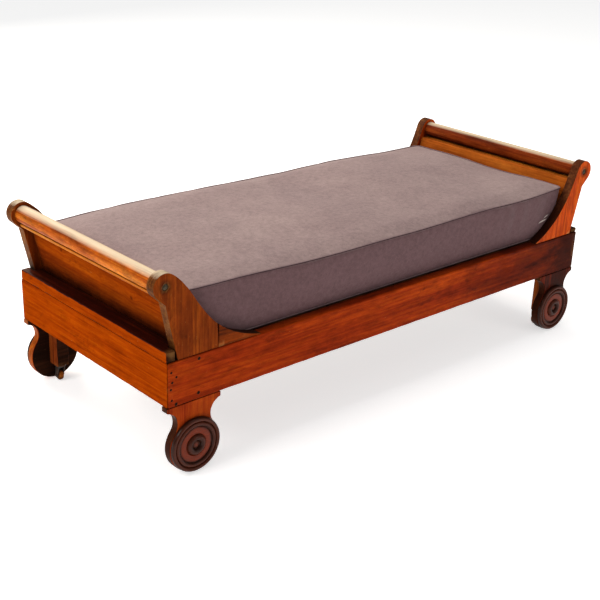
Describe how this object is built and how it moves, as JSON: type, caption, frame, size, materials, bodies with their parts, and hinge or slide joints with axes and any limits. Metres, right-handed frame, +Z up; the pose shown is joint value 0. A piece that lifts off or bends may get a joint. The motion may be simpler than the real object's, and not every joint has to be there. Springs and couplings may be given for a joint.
{
  "type": "daybed",
  "caption": "Wooden daybed: box frame on roundel feet with hidden casters, scrolled supports, crest rolls and slanted panels at both ends, and a loose piped mattress on boards.",
  "frame": {"origin": "on the floor under the middle of the bed", "axes": "+X towards the foot end along the length, +Y towards the back, +Z up"},
  "size_m": [1.9797, 0.844, 0.648],
  "materials": {
    "rail_wood": "French polished, deep red with dark streaks",
    "end_wood": "French polished, orange brown",
    "scroll_wood": "French polished, red brown",
    "panel_wood": "French polished, brown",
    "ledge_wood": "French polished, dark maroon",
    "roundel_wood": "polished, nearly black brown",
    "peg_wood": "dark, dull",
    "hidden_wood": "bare, dull",
    "wheel_wood": "worn, dull",
    "iron": "dull dark iron",
    "mattress_fabric": "matt grey mauve cloth with darker piping"
  },
  "bodies": {
    "bedstead": {"front_rail": "rail_wood", "front_cleat": "hidden_wood", "back_rail": "rail_wood", "back_cleat": "hidden_wood", "head_end_board": "end_wood", "head_ledge_cap": "ledge_wood", "head_panel": "panel_wood", "head_roll_rail": "panel_wood", "head_roll": "scroll_wood", "head_front_scroll": "scroll_wood", "head_front_scroll_toe": "scroll_wood", "head_front_scroll_peg": "peg_wood", "head_front_foot_board": "rail_wood", "head_front_roundel": "roundel_wood", "head_front_post": "hidden_wood", "head_front_caster_plate": "iron", "head_back_scroll": "scroll_wood", "head_back_scroll_toe": "scroll_wood", "head_back_scroll_peg": "peg_wood", "head_back_foot_board": "rail_wood", "head_back_roundel": "roundel_wood", "head_back_post": "hidden_wood", "head_back_caster_plate": "iron", "foot_end_board": "end_wood", "foot_ledge_cap": "ledge_wood", "foot_panel": "panel_wood", "foot_roll_rail": "panel_wood", "foot_roll": "scroll_wood", "foot_front_scroll": "scroll_wood", "foot_front_scroll_peg": "peg_wood", "foot_front_foot_board": "rail_wood", "foot_front_roundel": "roundel_wood", "foot_front_post": "hidden_wood", "foot_front_caster_plate": "iron", "foot_back_scroll": "scroll_wood", "foot_back_scroll_peg": "peg_wood", "foot_back_foot_board": "rail_wood", "foot_back_roundel": "roundel_wood", "foot_back_post": "hidden_wood", "foot_back_caster_plate": "iron", "base_board_1": "hidden_wood", "base_board_2": "hidden_wood", "base_board_3": "hidden_wood", "base_board_4": "hidden_wood", "base_board_5": "hidden_wood", "base_board_6": "hidden_wood"},
    "head_front_swivel": {"head_front_caster_horn": "iron", "head_front_caster_axle": "iron"},
    "head_front_wheel": {"head_front_caster_wheel": "wheel_wood"},
    "head_back_swivel": {"head_back_caster_horn": "iron", "head_back_caster_axle": "iron"},
    "head_back_wheel": {"head_back_caster_wheel": "wheel_wood"},
    "foot_front_swivel": {"foot_front_caster_horn": "iron", "foot_front_caster_axle": "iron"},
    "foot_front_wheel": {"foot_front_caster_wheel": "wheel_wood"},
    "foot_back_swivel": {"foot_back_caster_horn": "iron", "foot_back_caster_axle": "iron"},
    "foot_back_wheel": {"foot_back_caster_wheel": "wheel_wood"},
    "mattress": {"mattress": "mattress_fabric"}
  },
  "joints": [
    {"name": "head_front_swivel_turn", "type": "hinge", "parent": "bedstead", "child": "head_front_swivel", "pos_m": [-0.854, -0.348, 0.055], "axis": [0, 0, 1], "continuous": true},
    {"name": "head_front_wheel_turn", "type": "hinge", "parent": "head_front_swivel", "child": "head_front_wheel", "pos_m": [-0.854, -0.34, 0.018], "axis": [1, 0, 0], "continuous": true},
    {"name": "head_back_swivel_turn", "type": "hinge", "parent": "bedstead", "child": "head_back_swivel", "pos_m": [-0.854, 0.348, 0.055], "axis": [0, 0, 1], "continuous": true},
    {"name": "head_back_wheel_turn", "type": "hinge", "parent": "head_back_swivel", "child": "head_back_wheel", "pos_m": [-0.854, 0.356, 0.018], "axis": [1, 0, 0], "continuous": true},
    {"name": "foot_front_swivel_turn", "type": "hinge", "parent": "bedstead", "child": "foot_front_swivel", "pos_m": [0.854, -0.348, 0.055], "axis": [0, 0, 1], "continuous": true},
    {"name": "foot_front_wheel_turn", "type": "hinge", "parent": "foot_front_swivel", "child": "foot_front_wheel", "pos_m": [0.854, -0.34, 0.018], "axis": [1, 0, 0], "continuous": true},
    {"name": "foot_back_swivel_turn", "type": "hinge", "parent": "bedstead", "child": "foot_back_swivel", "pos_m": [0.854, 0.348, 0.055], "axis": [0, 0, 1], "continuous": true},
    {"name": "foot_back_wheel_turn", "type": "hinge", "parent": "foot_back_swivel", "child": "foot_back_wheel", "pos_m": [0.854, 0.356, 0.018], "axis": [1, 0, 0], "continuous": true},
    {"name": "mattress_lift", "type": "slide", "parent": "bedstead", "child": "mattress", "axis": [0, 0, 1], "range_m": [0, 0.3]}
  ]
}
